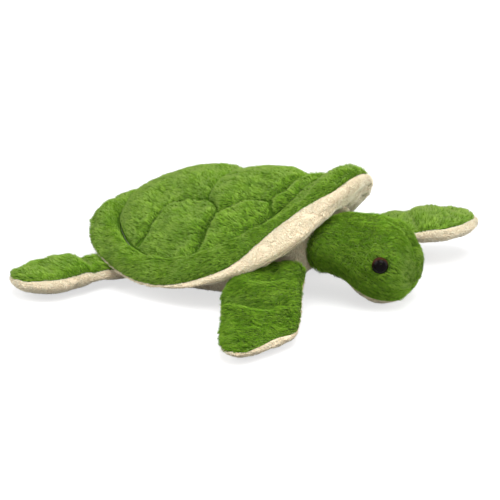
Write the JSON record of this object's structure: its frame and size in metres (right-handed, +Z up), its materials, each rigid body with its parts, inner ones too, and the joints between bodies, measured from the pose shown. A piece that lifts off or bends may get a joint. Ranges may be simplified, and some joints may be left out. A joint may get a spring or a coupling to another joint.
{
  "type": "plush turtle",
  "caption": "Stuffed plush turtle lying on its belly, with a quilted shell, round head, domed eyes and four flippers that swing at their seams.",
  "frame": {"origin": "on the belly's flat face, where the toy rests, at the turtle's middle plane", "axes": "+Z up off the belly, -Y towards the nose, -X towards the turtle's right side"},
  "size_m": [0.3053, 0.2805, 0.1033],
  "materials": {
    "green_plush": "long pile plush, matt",
    "cream_plush": "long pile plush, matt",
    "fibre_fill": "loose polyester fibre",
    "eye_gloss": "polished",
    "washer_plastic": "as moulded"
  },
  "bodies": {
    "torso": {"shell_top": "green_plush", "shell_rim": "green_plush", "shell_underside": "cream_plush", "shell_wadding": "fibre_fill", "shell_stuffing": "fibre_fill", "body_wall": "cream_plush", "belly_panel": "cream_plush", "body_stuffing": "fibre_fill"},
    "head": {"head_right": "green_plush", "head_left": "green_plush", "chin_panel": "cream_plush", "head_stuffing": "fibre_fill", "eye_right": "eye_gloss", "eye_left": "eye_gloss", "eye_washer_right": "washer_plastic", "eye_washer_left": "washer_plastic"},
    "front_flipper_right": {"front_flipper_right_top": "green_plush", "front_flipper_right_under": "cream_plush", "front_flipper_right_stuffing": "fibre_fill"},
    "front_flipper_left": {"front_flipper_left_top": "green_plush", "front_flipper_left_under": "cream_plush", "front_flipper_left_stuffing": "fibre_fill"},
    "rear_flipper_right": {"rear_flipper_right_top": "green_plush", "rear_flipper_right_under": "cream_plush", "rear_flipper_right_stuffing": "fibre_fill"},
    "rear_flipper_left": {"rear_flipper_left_top": "green_plush", "rear_flipper_left_under": "cream_plush", "rear_flipper_left_stuffing": "fibre_fill"}
  },
  "joints": [
    {"name": "head_nod", "type": "hinge", "parent": "torso", "child": "head", "pos_m": [0, -0.0865, 0.0425], "axis": [-0.9925, -0.1219, 0], "range_deg": [-8, 14], "stiffness_Nm_per_rad": 0.4, "springref_deg": 0.86},
    {"name": "front_flipper_right_swing", "type": "hinge", "parent": "torso", "child": "front_flipper_right", "pos_m": [-0.05511, -0.05486, 0.018], "axis": [-0.5446, 0.8387, 0], "range_deg": [-30, 15], "stiffness_Nm_per_rad": 0.15, "springref_deg": 1.15},
    {"name": "front_flipper_left_swing", "type": "hinge", "parent": "torso", "child": "front_flipper_left", "pos_m": [0.05511, -0.05486, 0.018], "axis": [-0.7193, -0.6947, 0], "range_deg": [-30, 12], "stiffness_Nm_per_rad": 0.15, "springref_deg": 1.15},
    {"name": "rear_flipper_right_swing", "type": "hinge", "parent": "torso", "child": "rear_flipper_right", "pos_m": [-0.06768, 0.07395, 0.0085], "axis": [0.4067, 0.9135, 0], "range_deg": [-30, 4], "stiffness_Nm_per_rad": 0.15, "springref_deg": 0.86},
    {"name": "rear_flipper_left_swing", "type": "hinge", "parent": "torso", "child": "rear_flipper_left", "pos_m": [0.06768, 0.07395, 0.0085], "axis": [0.4067, -0.9135, 0], "range_deg": [-30, 4], "stiffness_Nm_per_rad": 0.15, "springref_deg": 0.86}
  ]
}
